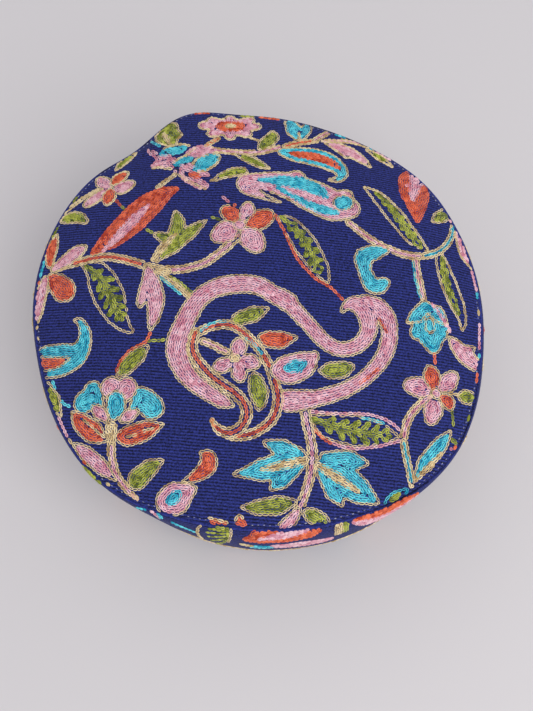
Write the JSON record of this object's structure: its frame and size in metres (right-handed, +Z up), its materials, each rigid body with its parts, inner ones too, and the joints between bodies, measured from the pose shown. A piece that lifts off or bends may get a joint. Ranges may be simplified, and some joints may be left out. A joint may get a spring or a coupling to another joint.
{
  "type": "embroidered cap",
  "caption": "Soft round brimless cap of navy cotton with a domed crown panel, a sewn tuck and an open side band, embroidered all over in chain stitch; it is worn on the head.",
  "frame": {"origin": "under the middle of the cap, on the surface that the rim stands on", "axes": "+Z up through the crown, -Y towards the viewer of the picture, +X to the viewer's right"},
  "size_m": [0.19, 0.1892, 0.0755],
  "materials": {
    "navy_cotton": "matt ribbed cotton",
    "pink_thread": "silky embroidery thread",
    "coral_thread": "silky embroidery thread",
    "turquoise_thread": "silky embroidery thread",
    "green_thread": "silky embroidery thread",
    "beige_thread": "silky embroidery thread",
    "white_thread": "cotton sewing thread"
  },
  "bodies": {
    "root": {"crown_panel": "navy_cotton", "side_band": "navy_cotton"}
  },
  "joints": []
}
